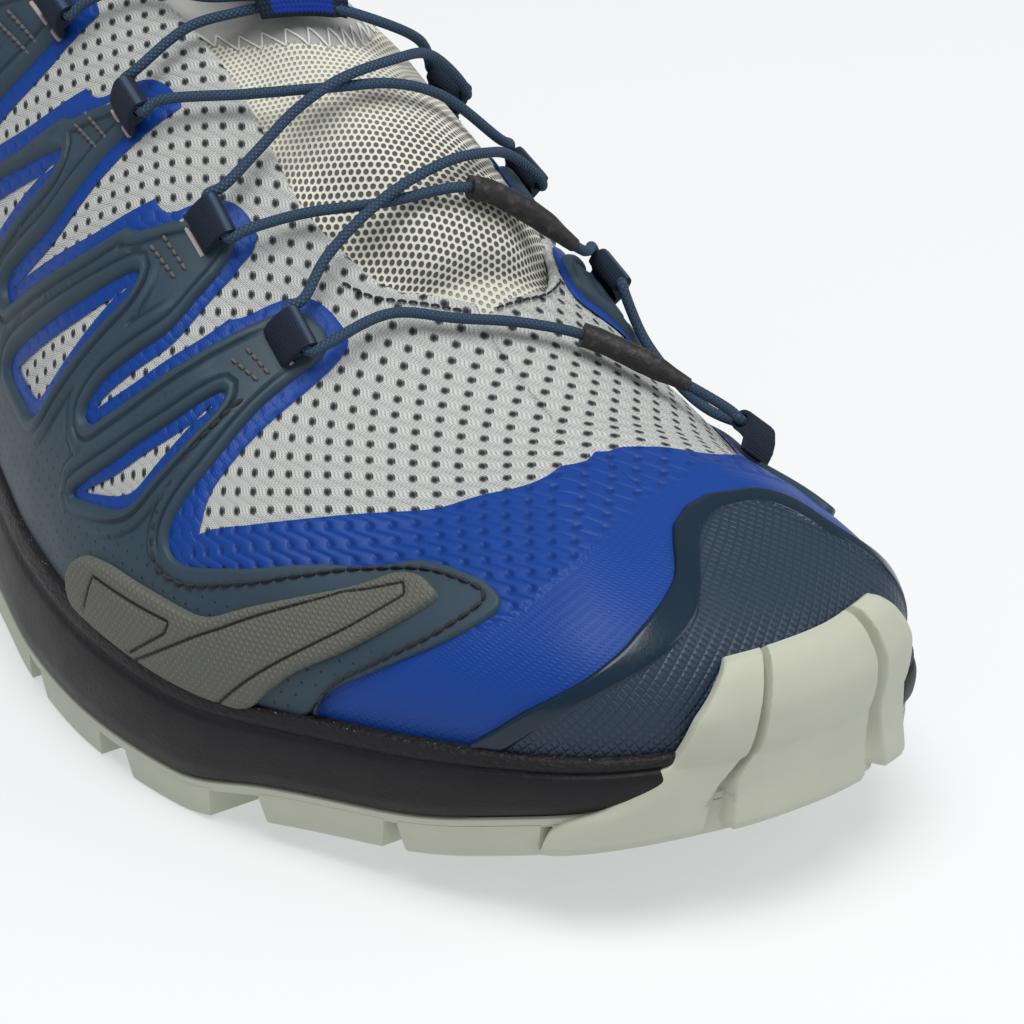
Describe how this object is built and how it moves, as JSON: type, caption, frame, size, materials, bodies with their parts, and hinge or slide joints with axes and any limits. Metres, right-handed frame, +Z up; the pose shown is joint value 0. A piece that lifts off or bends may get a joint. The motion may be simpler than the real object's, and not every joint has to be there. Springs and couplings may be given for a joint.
{
  "type": "trail running shoe",
  "caption": "Low right trail running shoe: knitted upper with moulded overlays and a toe cap, a thin lace through fabric loops, foam midsole, and a lugged rubber outsole with a toe bumper.",
  "frame": {"origin": "on the floor under the middle of the shoe's length and width", "axes": "+X to the toe, +Y to the inner side, +Z up"},
  "size_m": [0.2992, 0.1109, 0.132],
  "materials": {
    "sage_rubber": "matte moulded rubber",
    "black_foam": "matte moulded foam",
    "insole_foam": "fabric over foam",
    "grey_mesh": "open knitted mesh",
    "cream_mesh": "open knitted mesh",
    "navy_overlay": "matte bonded film",
    "toe_cap_navy": "glossy bonded film with fine relief",
    "guard_rubber": "matte with fine relief",
    "webbing": "woven",
    "lace_cord": "braided",
    "sleeve_fabric": "woven tube",
    "keeper_strap": "woven"
  },
  "bodies": {
    "root": {"heel_counter": "navy_overlay", "insole": "insole_foam", "lace_sleeve_1": "sleeve_fabric", "lace_sleeve_2": "sleeve_fabric", "laces": "lace_cord", "lateral_cage": "navy_overlay", "lateral_guard": "guard_rubber", "lateral_loop_1": "webbing", "lateral_loop_2": "webbing", "lateral_loop_3": "webbing", "lateral_loop_4": "webbing", "medial_cage": "navy_overlay", "medial_loop_0": "webbing", "medial_loop_1": "webbing", "medial_loop_2": "webbing", "medial_loop_3": "webbing", "medial_loop_4": "webbing", "midsole": "black_foam", "outsole": "sage_rubber", "toe_cap": "toe_cap_navy", "tongue": "cream_mesh", "tongue_keeper": "keeper_strap", "upper": "grey_mesh"}
  },
  "joints": []
}
